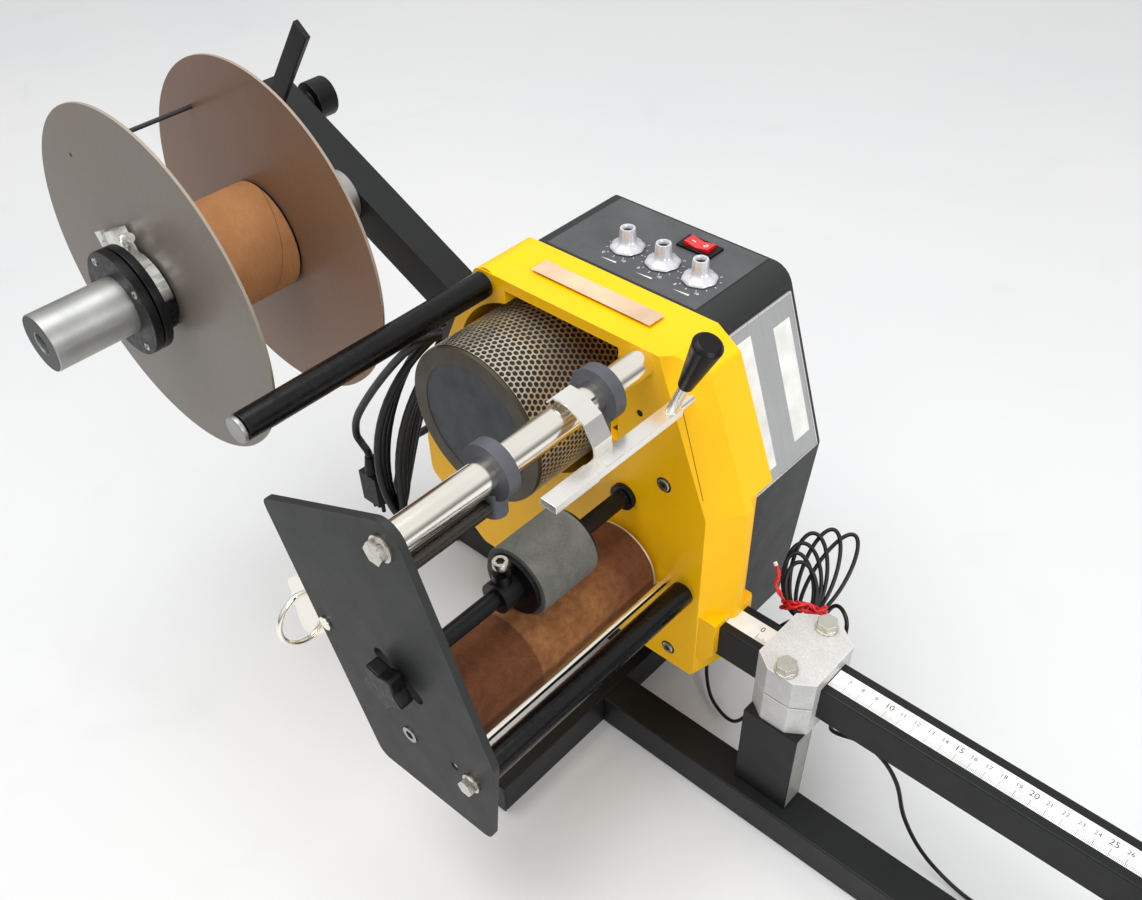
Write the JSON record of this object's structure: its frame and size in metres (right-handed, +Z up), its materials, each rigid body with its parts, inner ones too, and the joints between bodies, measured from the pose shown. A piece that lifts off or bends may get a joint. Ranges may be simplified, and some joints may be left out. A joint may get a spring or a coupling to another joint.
{
  "type": "labeling machine",
  "caption": "Desk labelling machine on a tube stand: mesh drum, nip and guide rollers, end plate, lever, label reel on an arm, hooded drive and a ruled side bar.",
  "frame": {"origin": "on the floor under the nip roller's axis, in the plane of the casting's front face", "axes": "+Z up, +X along the ruled bar to its far end, the rollers run along Y and the operator stands at -Y, in front of the end plate"},
  "size_m": [0.8567, 0.38, 0.4784],
  "materials": {
    "stand_black": "satin",
    "plug_black": "matte",
    "cast_clamp": "satin",
    "zinc_bolts": "satin",
    "yellow_paint": "gloss",
    "charcoal_paint": "matte",
    "plate_grey": "matte",
    "knob_grey": "satin",
    "black_plastic": "satin",
    "red_plastic": "gloss",
    "mesh_metal": "satin",
    "drum_end": "satin",
    "steel": "satin",
    "aluminium": "satin",
    "chrome": "polished",
    "belt_rubber": "matte",
    "motor_grey": "satin",
    "board_green": "satin",
    "collar_grey": "satin",
    "grey_rubber": "matte",
    "brown_flock": "matte",
    "roller_black": "satin",
    "disc_board": "satin",
    "core_card": "matte",
    "cord_black": "satin"
  },
  "bodies": {
    "frame": {"foot_rails": "stand_black", "cross_feet": "stand_black", "tube_plugs": "plug_black", "upright": "stand_black", "clamp_lower": "cast_clamp", "clamp_upper": "cast_clamp", "clamp_bolts": "zinc_bolts", "ruler_bar": "stand_black", "front_casting": "yellow_paint", "hood": "charcoal_paint", "data_plate": "plate_grey", "switch_bezel": "black_plastic", "drive_belt": "belt_rubber", "motor": "motor_grey", "circuit_board": "board_green", "guide_tube": "chrome", "pressure_hub": "black_plastic", "pressure_shaft": "black_plastic", "brown_axle": "steel", "chrome_rod": "chrome", "lower_axle": "steel", "end_plate": "charcoal_paint", "plate_bolts": "zinc_bolts", "latch_bracket": "chrome", "upper_axle": "aluminium", "reel_arm": "stand_black", "mandrel": "aluminium", "cable_glands": "black_plastic", "mains_lead": "cord_black", "mains_plug": "black_plastic", "sensor_lead": "cord_black", "sensor_plug": "black_plastic"},
    "reel": {"reel_hub": "black_plastic", "hub_clamp": "chrome", "front_disc": "disc_board", "rear_disc": "disc_board", "reel_core": "core_card", "disc_pin": "steel"},
    "drum": {"drum_sleeve": "mesh_metal", "drum_cap": "drum_end", "drum_shaft": "steel", "drum_pulley": "aluminium"},
    "motor_drive": {"motor_pulley": "aluminium"},
    "nip_roller": {"brown_roller": "brown_flock"},
    "pressure": {"pressure_roller": "grey_rubber"},
    "upper_guide": {"upper_roller": "roller_black"},
    "lower_guide": {"lower_roller": "roller_black"},
    "hold_down": {"lever_bar": "steel", "lever_grip": "black_plastic", "hold_down_strip": "steel"},
    "knob_1": {"knob_left": "knob_grey"},
    "knob_2": {"knob_middle": "knob_grey"},
    "knob_3": {"knob_right": "knob_grey"},
    "rocker": {"switch_rocker": "red_plastic"},
    "star": {"star_knob": "black_plastic"},
    "arm_screw": {"arm_knob": "black_plastic"},
    "tension": {"tension_lever": "stand_black"},
    "collar_front": {"front_collar": "collar_grey"},
    "collar_rear": {"rear_collar": "collar_grey"},
    "ring": {"latch_ring": "chrome"}
  },
  "joints": [
    {"name": "reel_spin", "type": "hinge", "parent": "frame", "child": "reel", "pos_m": [-0.26975, -0.1, 0.36001], "axis": [0, 1, 0], "continuous": true},
    {"name": "drum_spin", "type": "hinge", "parent": "frame", "child": "drum", "pos_m": [-0.088, 0, 0.279], "axis": [0, 1, 0], "continuous": true},
    {"name": "motor_spin", "type": "hinge", "parent": "frame", "child": "motor_drive", "pos_m": [-0.088, 0.085, 0.17], "axis": [0, 1, 0], "continuous": true},
    {"name": "nip_roller_spin", "type": "hinge", "parent": "frame", "child": "nip_roller", "pos_m": [0, -0.098, 0.177], "axis": [0, 1, 0], "continuous": true},
    {"name": "pressure_roller_spin", "type": "hinge", "parent": "frame", "child": "pressure", "pos_m": [0, -0.086, 0.235], "axis": [0, 1, 0], "continuous": true},
    {"name": "upper_guide_spin", "type": "hinge", "parent": "frame", "child": "upper_guide", "pos_m": [-0.12, -0.098, 0.352], "axis": [0, 1, 0], "continuous": true},
    {"name": "lower_guide_spin", "type": "hinge", "parent": "frame", "child": "lower_guide", "pos_m": [0.055, -0.098, 0.179], "axis": [0, 1, 0], "continuous": true},
    {"name": "hold_down_lift", "type": "hinge", "parent": "frame", "child": "hold_down", "pos_m": [0.041, -0.009, 0.332], "axis": [0, 1, 0], "range_deg": [0, 45]},
    {"name": "knob_1_turn", "type": "hinge", "parent": "frame", "child": "knob_1", "pos_m": [-0.068, 0.081, 0.37], "axis": [0, 0, 1], "range_deg": [-140, 140]},
    {"name": "knob_2_turn", "type": "hinge", "parent": "frame", "child": "knob_2", "pos_m": [-0.038, 0.081, 0.37], "axis": [0, 0, 1], "range_deg": [-140, 140]},
    {"name": "knob_3_turn", "type": "hinge", "parent": "frame", "child": "knob_3", "pos_m": [-0.008, 0.081, 0.37], "axis": [0, 0, 1], "range_deg": [-140, 140]},
    {"name": "rocker_tilt", "type": "hinge", "parent": "frame", "child": "rocker", "pos_m": [-0.031, 0.111, 0.3591], "axis": [0, 1, 0], "range_deg": [-8, 8]},
    {"name": "star_knob_turn", "type": "hinge", "parent": "frame", "child": "star", "pos_m": [0, -0.22, 0.235], "axis": [0, 1, 0], "continuous": true},
    {"name": "arm_knob_turn", "type": "hinge", "parent": "frame", "child": "arm_screw", "pos_m": [-0.34131, 0.05, 0.3958], "axis": [0, 1, 0], "continuous": true},
    {"name": "tension_lever_swing", "type": "hinge", "parent": "frame", "child": "tension", "pos_m": [-0.34131, 0.0035, 0.3958], "axis": [0, 1, 0], "range_deg": [-25, 25]},
    {"name": "front_collar_slide", "type": "slide", "parent": "frame", "child": "collar_front", "axis": [0, 1, 0], "range_m": [0, 0.045]},
    {"name": "rear_collar_slide", "type": "slide", "parent": "frame", "child": "collar_rear", "axis": [0, 1, 0], "range_m": [-0.01, 0.028]},
    {"name": "ring_swing", "type": "hinge", "parent": "frame", "child": "ring", "pos_m": [-0.105, -0.1985, 0.224], "axis": [0, 1, 0], "range_deg": [-5, 70]}
  ],
  "couplings": [
    {"joint": "motor_spin", "follows": "drum_spin", "ratio": 2},
    {"joint": "pressure_roller_spin", "follows": "nip_roller_spin", "ratio": -1.2549}
  ]
}
